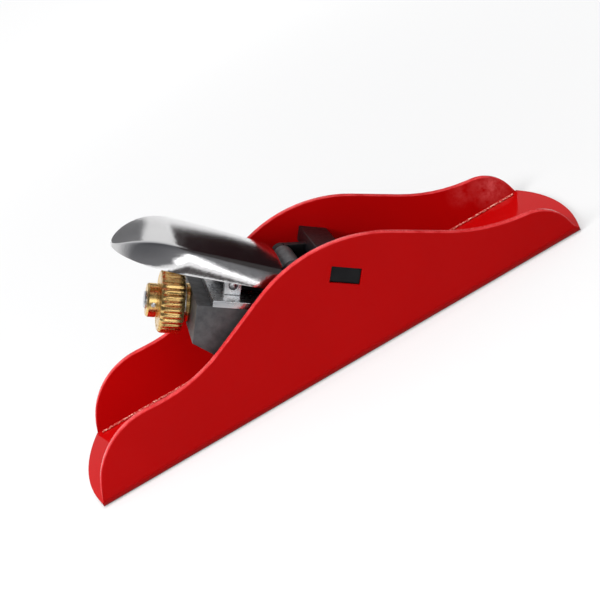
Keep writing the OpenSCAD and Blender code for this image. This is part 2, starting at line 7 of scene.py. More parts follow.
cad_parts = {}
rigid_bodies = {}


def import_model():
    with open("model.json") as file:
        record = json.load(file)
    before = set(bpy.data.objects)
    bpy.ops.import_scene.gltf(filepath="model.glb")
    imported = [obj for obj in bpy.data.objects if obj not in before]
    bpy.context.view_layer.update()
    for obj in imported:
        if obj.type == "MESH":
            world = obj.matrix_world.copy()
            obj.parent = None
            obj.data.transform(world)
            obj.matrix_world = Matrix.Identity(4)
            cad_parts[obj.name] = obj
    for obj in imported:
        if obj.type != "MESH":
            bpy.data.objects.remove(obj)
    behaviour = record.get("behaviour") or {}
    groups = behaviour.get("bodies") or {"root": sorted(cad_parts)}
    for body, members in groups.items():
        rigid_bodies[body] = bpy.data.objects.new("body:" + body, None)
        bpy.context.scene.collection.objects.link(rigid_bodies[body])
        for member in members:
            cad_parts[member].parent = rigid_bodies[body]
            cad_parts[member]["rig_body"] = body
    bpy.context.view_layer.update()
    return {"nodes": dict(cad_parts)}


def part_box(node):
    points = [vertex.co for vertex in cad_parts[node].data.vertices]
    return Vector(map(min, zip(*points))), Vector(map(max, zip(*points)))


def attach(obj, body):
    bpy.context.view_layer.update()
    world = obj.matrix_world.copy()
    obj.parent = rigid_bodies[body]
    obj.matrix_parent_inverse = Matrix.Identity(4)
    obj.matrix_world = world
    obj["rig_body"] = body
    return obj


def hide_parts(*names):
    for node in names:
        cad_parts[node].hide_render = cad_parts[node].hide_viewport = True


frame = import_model()
cadNodes = frame["nodes"]
scene = bpy.context.scene
scene.view_settings.view_transform = "Standard"
mm = 0.001
print("frame loaded:", len(cadNodes), "nodes")

# camera: low from the near side, rolled so that the toe points up to the right
cameraLook = {
    "spot": (-6.89, -311.09, 133.95),  # millimetres
    "azimuth": 1.127,
    "elevation": 20.926,
    "roll": 29.69,
    "lens": 69.7,
    "sensor": 36,
    "clip": (0.01, 50),  # metres
}


def makeCamera(look):
    azimuth, elevation = math.radians(look["azimuth"]), math.radians(look["elevation"])
    level = math.cos(elevation)
    ahead = Vector((math.sin(azimuth) * level, math.cos(azimuth) * level, -math.sin(elevation)))
    rolled = Quaternion(ahead, math.radians(look["roll"]))
    data = bpy.data.cameras.new("photoCamera")
    data.sensor_width = look["sensor"]
    data.lens = look["lens"]
    data.clip_start, data.clip_end = look["clip"]
    camera = bpy.data.objects.new("photoCamera", data)
    scene.collection.objects.link(camera)
    camera.location = Vector(look["spot"]) * mm
    camera.rotation_mode = "QUATERNION"
    camera.rotation_quaternion = rolled @ ahead.to_track_quat("-Z", "Y")
    scene.camera = camera


makeCamera(cameraLook)
print("camera placed")


# working frames, as in the part's source: pieces are drawn in millimetres in their own frame, then placed
def spun(degrees, axis):
    return Matrix.Rotation(math.radians(degrees), 4, axis)


def moved(x, y, z):
    return Matrix.Translation((x, y, z))


bedLook = {"angle": 36, "foot": 23, "axleAlong": 33, "axleUp": 8.845, "leverTilt": 8.5, "screwBelow": 5}
# on the bed x runs up the slope and z stands square on it
bedFrame = moved(bedLook["foot"], 0, 0) @ spun(180, "Z") @ spun(-bedLook["angle"], "Y")
axleFrame = bedFrame @ moved(bedLook["axleAlong"], 0, bedLook["axleUp"])
leverFrame = axleFrame @ spun(-bedLook["leverTilt"], "Y")  # x runs back along the closed lever
feedFrame = bedFrame @ moved(0, 0, -bedLook["screwBelow"]) @ spun(90, "Y")  # z runs up the feed screw
acrossTurn = spun(90, "X")


# node tree helpers
def fill(tree, node, values):  # link an output to each named input, or set a plain value on it
    for name, value in values.items():
        if isinstance(value, bpy.types.NodeSocket):
            tree.links.new(value, node.inputs[name])
        else:
            node.inputs[name].default_value = value
    return node


def addNode(tree, kind, values=None, **settings):
    node = tree.nodes.new(kind)
    for name, value in settings.items():
        setattr(node, name, value)
    return fill(tree, node, values or {})


def calc(tree, operation, *values):
    return addNode(tree, "ShaderNodeMath", dict(enumerate(values)), operation=operation).outputs[0]


# finishes
def newMaterial(name):
    material = bpy.data.materials.new(name)
    material.use_nodes = True
    material.node_tree.nodes.clear()
    return material, material.node_tree


def endMaterial(tree, surface):
    addNode(tree, "ShaderNodeOutputMaterial", {"Surface": surface})


def newFinish(name):
    material, tree = newMaterial(name)
    shader = addNode(tree, "ShaderNodeBsdfPrincipled")
    endMaterial(tree, shader.outputs["BSDF"])
    return material, tree, shader


def objectSpot(tree):
    return addNode(tree, "ShaderNodeTexCoord").outputs["Object"]


def objectNoise(tree, scale, detail=2.0, roughness=0.5, grain=None):
    spot = objectSpot(tree)
    if grain:
        spot = addNode(tree, "ShaderNodeMapping", {"Vector": spot, **grain}).outputs["Vector"]
    noise = addNode(tree, "ShaderNodeTexNoise", {
        "Vector": spot, "Scale": scale, "Detail": detail, "Roughness": roughness})
    return noise.outputs["Fac"]


def spread(tree, value, low, high, fromLow=0.3, fromHigh=0.7):
    ranged = addNode(tree, "ShaderNodeMapRange", {
        "Value": value, "From Min": fromLow, "From Max": fromHigh, "To Min": low, "To Max": high})
    return ranged.outputs["Result"]


def twoTones(tree, value, toneA, toneB, fromLow=0.35, fromHigh=0.65):
    ramp = addNode(tree, "ShaderNodeValToRGB", {"Fac": value})
    first, second = ramp.color_ramp.elements
    first.position, second.position = fromLow, fromHigh
    first.color, second.color = (*toneA, 1), (*toneB, 1)
    return ramp.outputs["Color"]


def bumped(tree, shader, value, strength, distance):
    bump = addNode(tree, "ShaderNodeBump", {"Strength": strength, "Distance": distance, "Height": value})
    fill(tree, shader, {"Normal": bump.outputs["Normal"]})


def paintSheen(tree, tone, glossSpot):  # painted sheen: a pale place, densest in its middle, that stands in for a soft reflection
    middle = Vector(glossSpot["spot"]) * mm
    away = addNode(tree, "ShaderNodeVectorMath", {0: objectSpot(tree), 1: middle}, operation="DISTANCE")
    fade = spread(tree, away.outputs["Value"], glossSpot["share"], 0.0, 0.0, glossSpot["reach"] * mm)
    glintSpecks = spread(tree, objectNoise(tree, glossSpot["speckScale"], detail=4, roughness=0.65), 0.0, 1.0)
    sheenShare = calc(tree, "MULTIPLY", fade, glintSpecks)
    mixed = addNode(tree, "ShaderNodeMix", {"Factor": sheenShare, "A": tone, "B": (*glossSpot["tone"], 1)},
                    data_type="RGBA")
    return mixed.outputs["Result"]


def coatFinish(look):
    material, tree, shader = newFinish(look["name"])
    tone = twoTones(tree, objectNoise(tree, look["patchScale"], detail=3), look["toneA"], look["toneB"])
    # each sheen patch paints a pale reflection onto the red
    for glossSpot in look.get("sheenPatches", []):
        tone = paintSheen(tree, tone, glossSpot)
    rough = spread(tree, objectNoise(tree, look["roughScale"], detail=4), *look["rough"])
    fill(tree, shader, {"Base Color": tone, "Roughness": rough, "IOR": look["ior"]})
    peel = objectNoise(tree, look["peelScale"], roughness=0.4)
    bumped(tree, shader, peel, look["peel"], look["peelDepth"])
    return material


def metalFinish(look):
    material, tree, shader = newFinish(look["name"])
    patches = objectNoise(tree, look["patchScale"], detail=4)
    lines = objectNoise(tree, look["lineScale"], detail=5, roughness=0.6, grain=look.get("grain"))
    fill(tree, shader, {
        "Base Color": twoTones(tree, patches, look["toneA"], look["toneB"]), "Metallic": look["metallic"],
        "Roughness": spread(tree, lines, *look["rough"]), "IOR": look.get("ior", 1.5)})
    bumped(tree, shader, lines, look["line"], look["lineDepth"])
    return material


# painted highlight: pale pink speckles along the corner bead stand in for the glints of its highlight
def seamFinish(look):
    material, tree, shader = newFinish(look["name"])
    glintSpecks = objectNoise(tree, look["speckScale"], detail=3, roughness=0.6)
    tone = twoTones(tree, glintSpecks, look["toneA"], look["toneB"], *look["glintBand"])
    fill(tree, shader, {"Base Color": tone, "Roughness": look["rough"]})
    pits = objectNoise(tree, look["peelScale"], detail=3, roughness=0.6)
    bumped(tree, shader, pits, look["peel"], look["peelDepth"])
    return material


toePaintedSheen = [  # painted reflection inside the far wall's toe lobe: pale speckled smears standing in for a soft sheen, in millimetres
    {"spot": (68.0, 21.3, 7.8), "reach": 8.0, "share": 0.8, "speckScale": 420, "tone": (0.72, 0.13, 0.13)},
    {"spot": (58.2, 21.3, 10.3), "reach": 5.0, "share": 0.3, "speckScale": 420, "tone": (0.72, 0.13, 0.13)},
]
groundLines = {  # grinding lines along the blade's edge
    "Scale": (9, 0.3, 9),
    "Rotation": (0, math.radians(bedLook["angle"]), 0),
}
finishes = {  # bump depths in metres
    "red_paint": coatFinish({
        "name": "redPowderCoat", "toneA": (0.405, 0.0018, 0.002), "toneB": (0.43, 0.0022, 0.0025),
        "patchScale": 30, "roughScale": 180, "rough": (0.07, 0.12), "ior": 1.12,
        "peelScale": 900, "peel": 0.05, "peelDepth": 0.00004, "sheenPatches": toePaintedSheen}),
    # painted highlight: a lighter red on the rims' eased and narrow faces stands in for the highlights along
    # the wall edges
    "rim_painted_highlight": coatFinish({
        "name": "redRimPaintedHighlight", "toneA": (0.52, 0.018, 0.02), "toneB": (0.64, 0.045, 0.048),
        "patchScale": 400, "roughScale": 2400, "rough": (0.2, 0.3), "ior": 1.25,
        "peelScale": 900, "peel": 0.05, "peelDepth": 0.00004}),
    "seam": seamFinish({
        "name": "seamPaintedGlints", "toneA": (0.42, 0.004, 0.005), "toneB": (0.74, 0.36, 0.28),
        "speckScale": 1500, "glintBand": (0.47, 0.58), "rough": 0.32,
        "peelScale": 1200, "peel": 0.5, "peelDepth": 0.0001}),
    "chrome": metalFinish({
        "name": "polishedChrome", "toneA": (0.66, 0.655, 0.66), "toneB": (0.72, 0.715, 0.72),
        "metallic": 1.0, "patchScale": 60, "rough": (0.1, 0.16),
        "lineScale": 900, "line": 0.8, "lineDepth": 0.00004}),
    # black oxide, its tone pushed near black so the bridge bar's ends fill the wall windows with painted
    # shade: partly the oxide's own colour, partly painted shade
    "black_steel": metalFinish({
        "name": "blackOxideAndShade", "toneA": (0.005, 0.005, 0.006), "toneB": (0.009, 0.009, 0.01),
        "metallic": 0.15, "ior": 1.25, "patchScale": 220, "rough": (0.36, 0.5),
        "lineScale": 900, "line": 0.08, "lineDepth": 0.00005}),
    "dark_steel": metalFinish({
        "name": "greyPhosphate", "toneA": (0.085, 0.086, 0.09), "toneB": (0.13, 0.13, 0.135),
        "metallic": 0.7, "patchScale": 400, "rough": (0.45, 0.62),
        "lineScale": 1400, "line": 0.12, "lineDepth": 0.00005}),
    "zinc_steel": metalFinish({
        "name": "brightZinc", "toneA": (0.55, 0.57, 0.60), "toneB": (0.66, 0.66, 0.66),
        "metallic": 1.0, "patchScale": 160, "rough": (0.22, 0.36),
        "lineScale": 500, "line": 0.06, "lineDepth": 0.00005}),
    "blade_steel": metalFinish({
        "name": "groundBladeSteel", "toneA": (0.62, 0.63, 0.65), "toneB": (0.70, 0.71, 0.72),
        "metallic": 1.0, "patchScale": 90, "rough": (0.2, 0.34),
        "lineScale": 260, "grain": groundLines, "line": 0.1, "lineDepth": 0.00004}),
    "spring_steel": metalFinish({
        "name": "bluedSpringSteel", "toneA": (0.09, 0.12, 0.22), "toneB": (0.14, 0.16, 0.26),
        "metallic": 1.0, "patchScale": 200, "rough": (0.22, 0.34),
        "lineScale": 700, "line": 0.05, "lineDepth": 0.00004}),
    "brass": metalFinish({
        "name": "turnedBrass", "toneA": (0.72, 0.47, 0.17), "toneB": (0.80, 0.56, 0.23),
        "metallic": 1.0, "patchScale": 150, "rough": (0.2, 0.32),
        "lineScale": 600, "line": 0.06, "lineDepth": 0.00004}),
}
print("finishes made:", len(finishes))


# meshes and pieces
def newPiece(name, mesh=None):
    piece = bpy.data.objects.new(name, mesh or bpy.data.meshes.new(name))
    scene.collection.objects.link(piece)
    return piece


def meshOf(shape, name):
    mesh = bpy.data.meshes.new(name)
    shape.to_mesh(mesh)
    shape.free()
    return mesh


def bakeMesh(piece):
    depsgraph = bpy.context.evaluated_depsgraph_get()
    mesh = bpy.data.meshes.new_from_object(piece.evaluated_get(depsgraph), depsgraph=depsgraph)
    piece.modifiers.clear()
    piece.data = mesh
    mesh.name = piece.name


def place(piece, spot=Matrix.Identity(4)):  # from millimetres in a working frame to metres
    piece.data.transform(Matrix.Scale(mm, 4) @ spot)


def smooth(mesh):
    mesh.polygons.foreach_set("use_smooth", [True] * len(mesh.polygons))


def standIn(piece, nodeName):  # the piece takes the node's place on its body
    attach(piece, cadNodes[nodeName]["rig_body"])
    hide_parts(nodeName)


def settle(piece, slotName, nodeName, sharper=32):  # edges sharper than this many degrees stay crisp
    piece.data.materials.clear()
    piece.data.materials.append(finishes[slotName])
    smooth(piece.data)
    piece.data.set_sharp_from_angle(angle=math.radians(sharper))
    standIn(piece, nodeName)


# floor, cards, world and lamps, in metres
stageLook = {
    "radius": 6.0, "segments": 96, "drop": 0.0002, "backHeight": 0.6, "tone": (0.42, 0.42, 0.42),
    # the lift towards white grows where the lamps fade
    "nearLift": 0.38, "farLift": 0.86, "liftFrom": 0.1, "liftTo": 0.85,
}
cardLooks = {  # plain cards outside the picture, which only mirrors see
    "farCard": {"tone": (0.015, 0.005, 0.006), "corners": [
        (0.13, 0.63, 0.0), (0.52, 0.24, 0.0), (0.52, 0.24, 0.48), (0.13, 0.63, 0.09)]},
    "palmCard": {"tone": (0.2, 0.2, 0.205), "corners": [
        (-0.165, 0.64, 0.10), (0.05, 0.64, 0.14), (0.05, 0.64, 0.34), (-0.165, 0.64, 0.34)]},
    "sideCard": {"tone": (0.05, 0.045, 0.045), "corners": [
        (0.52, 0.30, 0.10), (0.50, -0.38, 0.14), (0.50, -0.38, 0.60), (0.52, 0.30, 0.60)]},
    "frontCard": {"tone": (0.05, 0.045, 0.045), "corners": [
        (-0.13, -0.025, 0.0003), (-0.13, -0.34, 0.0003), (0.16, -0.34, 0.0003), (0.16, -0.25, 0.0003)]},
}
worldLook = {  # a room that is darker above and in front
    "low": (1.0, 1.0, 1.0), "high": (0.5, 0.51, 0.53), "heights": (0.35, 0.95),
    "front": (0.24, 0.24, 0.25), "back": (1.0, 1.0, 1.0), "depths": (0.0, 0.6),
    "strength": 0.85,
}
lampLooks = {
    "keyLamp": {"spot": (-0.46, -0.32, 0.46), "aim": (0.0, 0.0, 0.02), "size": (0.4, 0.3), "power": 4.8},
    "topLamp": {"spot": (0.05, -0.12, 0.90), "aim": (0.0, 0.0, 0.02), "size": (0.6, 0.5), "power": 6.0},
    "bandLamp": {"spot": (0.13, -0.62, 0.135), "aim": (-0.025, -0.017, 0.042), "size": (0.46, 0.15),
                 "power": 0.4, "mirrored": True},
}


def seenRays(tree):  # 1 where the ray comes from the camera, a mirror or glass
    path = addNode(tree, "ShaderNodeLightPath").outputs
    seen = calc(tree, "ADD", path["Is Camera Ray"], path["Is Glossy Ray"])
    return calc(tree, "MINIMUM", calc(tree, "ADD", seen, path["Is Transmission Ray"]), 1.0)


def mattShader(tree, tone):
    return addNode(tree, "ShaderNodeBsdfDiffuse", {"Color": (*tone, 1)}).outputs[0]


def paleFinish(name, look, even):
    material, tree = newMaterial(name)
    lift = look["farLift"]
    if not even:
        far = addNode(tree, "ShaderNodeVectorMath", {0: objectSpot(tree)}, operation="LENGTH")
        lift = spread(tree, far.outputs["Value"], look["nearLift"], lift, look["liftFrom"], look["liftTo"])
    glow = addNode(tree, "ShaderNodeEmission", {"Strength": calc(tree, "MULTIPLY", seenRays(tree), lift)})
    both = addNode(tree, "ShaderNodeAddShader", {0: mattShader(tree, look["tone"]), 1: glow.outputs[0]})
    endMaterial(tree, both.outputs[0])
    return material


def makeStage(look):
    radius, segments, backHeight = look["radius"], look["segments"], look["backHeight"]
    floor = bmesh.new()
    bmesh.ops.create_circle(floor, cap_ends=True, radius=radius, segments=segments)
    back = bmesh.new()
    bmesh.ops.create_cone(back, radius1=radius, radius2=radius, depth=backHeight, segments=segments)
    for name, shape, height, even in (
            ("paleFloor", floor, -look["drop"], False), ("paleBackdrop", back, backHeight / 2, True)):
        mesh = meshOf(shape, name)
        mesh.transform(moved(0, 0, height))
        mesh.materials.append(paleFinish(name, look, even))
        newPiece(name, mesh)


def makeCard(name, look):
    card = newPiece(name)
    card.data.from_pydata(look["corners"], [], [tuple(range(len(look["corners"])))])
    material, tree = newMaterial(name)
    endMaterial(tree, mattShader(tree, look["tone"]))
    card.data.materials.append(material)
    card.visible_camera = False
    card.visible_diffuse = False
    card.visible_shadow = False


def makeWorld(look):
    scene.world = bpy.data.worlds.new("studioWorld")
    scene.world.use_nodes = True
    tree = scene.world.node_tree
    tree.nodes.clear()
    ahead = addNode(tree, "ShaderNodeTexCoord").outputs["Generated"]
    parts = addNode(tree, "ShaderNodeSeparateXYZ", {0: ahead}).outputs
    height = twoTones(tree, parts["Z"], look["low"], look["high"], *look["heights"])
    depth = twoTones(tree, parts["Y"], look["front"], look["back"], *look["depths"])
    mixed = addNode(tree, "ShaderNodeMix", {"Factor": 1.0, "A": height, "B": depth},
                    data_type="RGBA", blend_type="MULTIPLY")
    room = addNode(tree, "ShaderNodeBackground", {
        "Color": mixed.outputs["Result"], "Strength": look["strength"]})
    addNode(tree, "ShaderNodeOutputWorld", {"Surface": room.outputs[0]})


def makeLamp(name, look):
    data = bpy.data.lights.new(name, "AREA")
    data.shape = "RECTANGLE"
    data.size, data.size_y = look["size"]
    data.energy = look["power"]
    lamp = bpy.data.objects.new(name, data)
    scene.collection.objects.link(lamp)
    lamp.location = look["spot"]
    lamp.rotation_mode = "QUATERNION"
    lamp.rotation_quaternion = (Vector(look["aim"]) - Vector(look["spot"])).to_track_quat("-Z", "Y")
    lamp.visible_glossy = look.get("mirrored", False)


makeStage(stageLook)
makeWorld(worldLook)
for cardName, cardLook in cardLooks.items():
    makeCard(cardName, cardLook)
for lampName, lampLook in lampLooks.items():
    makeLamp(lampName, lampLook)
print("floor, cards, world and lamps made")

# pieces kept from the frame, merged, cleaned and with their edges eased
cleanLook = {
    "merge": 2e-6,  # metres
    "flat": 0.4, "crisp": 42,  # degrees
    "weight": 100,
}
rimLook = {
    "above": 3.3, "away": 21.0, "margin": 1.0,  # millimetres
    "facing": 0.5,  # how far the normal of a rim's face leans sideways at most
}
windowLow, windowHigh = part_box("bridge")


def onRim(spot):  # on a wall's outline, not at its window nor on the sole
    margin = rimLook["margin"] * mm
    atWindow = all(windowLow[k] - margin < spot[k] < windowHigh[k] + margin for k in (0, 2))
    return spot.z > rimLook["above"] * mm and abs(spot.y) > rimLook["away"] * mm and not atWindow


def sharpEdges(shape, look):
    limit = math.radians(look["sharper"])
    sharp = [e for e in shape.edges if len(e.link_faces) == 2 and e.calc_face_angle() > limit]
    if "long" in look:
        sharp = [e for e in sharp if e.calc_length() > look["long"] * mm]
    if "edge" in look:
        sharp = [e for e in sharp if onRim((e.verts[0].co + e.verts[1].co) / 2)]
    return sharp


def easedPiece(nodeName, look):
    piece = newPiece(look["piece"])
    mesh = piece.data
    rimmed = "edge" in look
    shape = bmesh.new()
    shape.from_mesh(cadNodes[nodeName].data)
    bmesh.ops.remove_doubles(shape, verts=shape.verts, dist=cleanLook["merge"])
    if not rimmed:
        flat = math.radians(cleanLook["flat"])
        bmesh.ops.dissolve_limit(shape, angle_limit=flat, verts=shape.verts, edges=shape.edges)
    bmesh.ops.bevel(shape, geom=sharpEdges(shape, look), offset=look["ease"] * mm, offset_type="OFFSET",
                    segments=look["steps"], profile=0.5, affect="EDGES",
                    clamp_overlap=not rimmed and "long" not in look, material=1 if rimmed else 0)
    for face in shape.faces:
        face.smooth = True
        # the eased and narrow rim faces take the painted highlight finish
        narrow = abs(face.normal.y) < rimLook["facing"] and onRim(face.calc_center_median())
        face.material_index = 1 if rimmed and (narrow or face.material_index == 1) else 0
    mesh.materials.append(finishes[look["slot"]])
    if rimmed:
        mesh.materials.append(finishes[look["edge"]])
    shape.to_mesh(mesh)
    shape.free()
    normals = mesh.attributes.get("custom_normal")
    if normals:
        mesh.attributes.remove(normals)
    mesh.set_sharp_from_angle(angle=math.radians(cleanLook["crisp"]))
    weighted = piece.modifiers.new("weighted", "WEIGHTED_NORMAL")
    weighted.weight = cleanLook["weight"]
    weighted.keep_sharp = True
    bakeMesh(piece)
    standIn(piece, nodeName)


easedLooks = {  # ease and long in millimetres, sharper in degrees
    "body_channel": {"piece": "bodyShell", "slot": "red_paint", "edge": "rim_painted_highlight",
                     "ease": 0.35, "steps": 3, "sharper": 25},
    "frog": {"piece": "frogBracket", "slot": "dark_steel",
             "ease": 0.35, "steps": 3, "sharper": 25, "long": 2.5},
    "bridge": {"piece": "bridgeBar", "slot": "black_steel",
               "ease": 0.3, "steps": 3, "sharper": 25, "long": 2.0},
    "lever_cam": {"piece": "camBlock", "slot": "dark_steel", "ease": 0.2, "steps": 2, "sharper": 25},
    "blade_carrier": {"piece": "carrierPlate", "slot": "zinc_steel",
                      "ease": 0.15, "steps": 2, "sharper": 25, "long": 1.5},
    "blade": {"piece": "bladeStrip", "slot": "blade_steel", "ease": 0.03, "steps": 1, "sharper": 60},
    "clamp_plate": {"piece": "clampPlate", "slot": "black_steel",
                    "ease": 0.18, "steps": 2, "sharper": 25, "long": 1.5},
    "lift_spring": {"piece": "leafSpring", "slot": "spring_steel", "ease": 0.06, "steps": 2, "sharper": 40},
    "drive_nut": {"piece": "driveNut", "slot": "brass",
                  "ease": 0.25, "steps": 2, "sharper": 25, "long": 2.0},
    "axle_clips": {"piece": "axleClips", "slot": "black_steel", "ease": 0.08, "steps": 2, "sharper": 40},
    "spindle_clip": {"piece": "spindleClip", "slot": "black_steel", "ease": 0.08, "steps": 2, "sharper": 40},
}
for nodeName, easedLook in easedLooks.items():
    easedPiece(nodeName, easedLook)
print("eased pieces made:", len(easedLooks))


# geometry node trees: each takes named sizes and ends in Realize Instances and Set Material
def newTree(name, form):
    tree = bpy.data.node_groups.new(name, "GeometryNodeTree")
    tree.interface.new_socket("Geometry", in_out="INPUT", socket_type="NodeSocketGeometry")
    for label, value in form.items():
        kind = "NodeSocketInt" if isinstance(value, int) else "NodeSocketFloat"
        tree.interface.new_socket(label, in_out="INPUT", socket_type=kind).default_value = value
    tree.interface.new_socket("Finish", in_out="INPUT", socket_type="NodeSocketMaterial")
    tree.interface.new_socket("Geometry", in_out="OUTPUT", socket_type="NodeSocketGeometry")
    return tree, addNode(tree, "NodeGroupInput").outputs


def endTree(tree, geometry, finish):
    real = addNode(tree, "GeometryNodeRealizeInstances", {"Geometry": geometry})
    painted = addNode(tree, "GeometryNodeSetMaterial", {
        "Geometry": real.outputs["Geometry"], "Material": finish})
    addNode(tree, "NodeGroupOutput", {"Geometry": painted.outputs["Geometry"]})


def runTree(piece, tree, finishName, form):
    modifier = piece.modifiers.new(tree.name, "NODES")
    modifier.node_group = tree
    values = {**form, "Finish": finishes[finishName]}
    for item in tree.interface.items_tree:
        if item.in_out == "INPUT" and item.name in values:
            modifier[item.identifier] = values[item.name]
    bakeMesh(piece)


def pointSpot(tree):
    return addNode(tree, "GeometryNodeInputPosition").outputs[0]


def newSpot(tree, x=0.0, y=0.0, z=0.0):
    return addNode(tree, "ShaderNodeCombineXYZ", {"X": x, "Y": y, "Z": z}).outputs[0]


# palm lever: a grid bent into a tapered, crowned cap with a rounded palm end and bulged skirts
leverLook = {
    "form": {
        "Lengthwise": 84, "Crosswise": 71, "Front": 4.5, "End": 49.6, "Half Front": 17.9, "Half Palm": 18.5,
        "Taper Share": 0.55, "Palm Turn": 1.5,  # the turn, in radians, stops short of a right angle
        "Top": 2.15, "Bend": 34.0, "Palm Radius": 20.0, "Crown Front": 90.0, "Crown Palm": 195.0,
        "Ridge Front": 3.4, "Ridge Palm": 1.3, "Bulge Front": 1.0, "Bulge Palm": 2.0,
        "Rim Front": -4.15, "Rim Palm": -6.2, "Top Share": 0.6, "Top Crowding": 2.0, "Skirt Crowding": 1.6,
        "Ridge Ease": 1.3, "Skirt Slope": 1.12, "Ease Out": -0.54, "Ease Up": -0.74,
    },
    "thickness": 1.2, "rimEase": 0.35, "rimSteps": 3, "rimAngle": 50, "sharper": 60,
}


def leverTree(form):
    tree, sizes = newTree("palmLeverForm", form)

    def between(name, share):  # runs evenly from the front's value to the palm's
        change = calc(tree, "SUBTRACT", sizes[name + " Palm"], sizes[name + " Front"])
        return calc(tree, "MULTIPLY_ADD", change, share, sizes[name + " Front"])

    grid = addNode(tree, "GeometryNodeMeshGrid", {
        "Size X": 1.0, "Size Y": 2.0, "Vertices X": sizes["Lengthwise"], "Vertices Y": sizes["Crosswise"]})
    parts = addNode(tree, "ShaderNodeSeparateXYZ", {0: pointSpot(tree)}).outputs
    along = calc(tree, "ADD", parts["X"], 0.5)
    side = calc(tree, "SIGN", parts["Y"])
    away = calc(tree, "ABSOLUTE", parts["Y"])
    # plan: straight taper, then a round end
    straight = calc(tree, "MINIMUM", calc(tree, "DIVIDE", along, sizes["Taper Share"]), 1.0)
    pastTaper = calc(tree, "MAXIMUM", calc(tree, "SUBTRACT", along, sizes["Taper Share"]), 0.0)
    turnRate = calc(tree, "DIVIDE", sizes["Palm Turn"], calc(tree, "SUBTRACT", 1.0, sizes["Taper Share"]))
    rounded = calc(tree, "MULTIPLY", pastTaper, turnRate)
    closing = calc(tree, "COSINE", rounded)
    roundFrom = calc(tree, "SUBTRACT", sizes["End"], sizes["Half Palm"])
    taperLong = calc(tree, "SUBTRACT", roundFrom, sizes["Front"])
    reach = calc(tree, "MULTIPLY_ADD", taperLong, straight, sizes["Front"])
    reach = calc(tree, "MULTIPLY_ADD", sizes["Half Palm"], calc(tree, "SINE", rounded), reach)
    half = calc(tree, "MULTIPLY", between("Half", straight), closing)
    # height: level, then down round the palm
    past = calc(tree, "MAXIMUM", calc(tree, "SUBTRACT", reach, sizes["Bend"]), 0.0)
    radius = sizes["Palm Radius"]
    squares = calc(tree, "SUBTRACT", calc(tree, "POWER", radius, 2.0), calc(tree, "POWER", past, 2.0))
    sunk = calc(tree, "SUBTRACT", radius, calc(tree, "SQRT", calc(tree, "MAXIMUM", squares, 0.0)))
    height = calc(tree, "SUBTRACT", sizes["Top"], sunk)
    # section: crowned top to the ridge, then a bulged skirt to the rim, with rows that crowd to the ridge
    offTop = calc(tree, "SUBTRACT", 1.0, calc(tree, "DIVIDE", away, sizes["Top Share"]))
    offTop = calc(tree, "POWER", calc(tree, "MAXIMUM", offTop, 0.0), sizes["Top Crowding"])
    onSkirt = calc(tree, "MAXIMUM", calc(tree, "SUBTRACT", away, sizes["Top Share"]), 0.0)
    onSkirt = calc(tree, "DIVIDE", onSkirt, calc(tree, "SUBTRACT", 1.0, sizes["Top Share"]))
    onSkirt = calc(tree, "POWER", onSkirt, sizes["Skirt Crowding"])
    inset = calc(tree, "MULTIPLY", between("Ridge", straight), closing)
    ridgeAway = calc(tree, "SUBTRACT", half, inset)
    topAway = calc(tree, "MULTIPLY", ridgeAway, calc(tree, "SUBTRACT", 1.0, offTop))
    crownWide = calc(tree, "MULTIPLY", between("Crown", straight), 2.0)
    crownDrop = calc(tree, "DIVIDE", calc(tree, "MULTIPLY", topAway, topAway), crownWide)
    length = calc(tree, "SUBTRACT", sizes["End"], sizes["Front"])
    rim = between("Rim", calc(tree, "DIVIDE", calc(tree, "SUBTRACT", reach, sizes["Front"]), length))
    topHeight = calc(tree, "MAXIMUM", calc(tree, "SUBTRACT", height, crownDrop), rim)
    skirtTurn = calc(tree, "MULTIPLY", onSkirt, between("Bulge", straight))
    skirtOut = calc(tree, "MULTIPLY", inset, calc(tree, "SINE", skirtTurn))
    skirtDown = calc(tree, "MULTIPLY", calc(tree, "SUBTRACT", topHeight, rim), onSkirt)
    # the ridge is rounded: points near it move in and down by a square law
    ease = calc(tree, "MULTIPLY", sizes["Ridge Ease"], closing)
    downSkirt = calc(tree, "MULTIPLY", skirtDown, sizes["Skirt Slope"])
    fromRidge = calc(tree, "ADD", calc(tree, "MULTIPLY", ridgeAway, offTop), downSkirt)
    near = calc(tree, "POWER", calc(tree, "MAXIMUM", calc(tree, "SUBTRACT", ease, fromRidge), 0.0), 2.0)
    pull = calc(tree, "DIVIDE", near, calc(tree, "MULTIPLY", ease, 4.0))
    outward = calc(tree, "MULTIPLY_ADD", pull, sizes["Ease Out"], calc(tree, "ADD", topAway, skirtOut))
    upward = calc(tree, "MULTIPLY_ADD", pull, sizes["Ease Up"], calc(tree, "SUBTRACT", topHeight, skirtDown))
    spot = newSpot(tree, reach, calc(tree, "MULTIPLY", side, outward), upward)
    shaped = addNode(tree, "GeometryNodeSetPosition", {"Geometry": grid.outputs["Mesh"], "Position": spot})
    endTree(tree, shaped.outputs["Geometry"], sizes["Finish"])
    return tree


def makeLever(look):
    piece = newPiece("palmLever")
    runTree(piece, leverTree(look["form"]), "chrome", look["form"])
    wall = piece.modifiers.new("wall", "SOLIDIFY")
    wall.thickness, wall.offset = look["thickness"], -1
    rim = piece.modifiers.new("rim", "BEVEL")
    rim.width, rim.segments = look["rimEase"], look["rimSteps"]
    rim.limit_method, rim.angle_limit = "ANGLE", math.radians(look["rimAngle"])
    bakeMesh(piece)
    place(piece, leverFrame)
    settle(piece, "chrome", "palm_lever", look["sharper"])


makeLever(leverLook)
print("palm lever made")


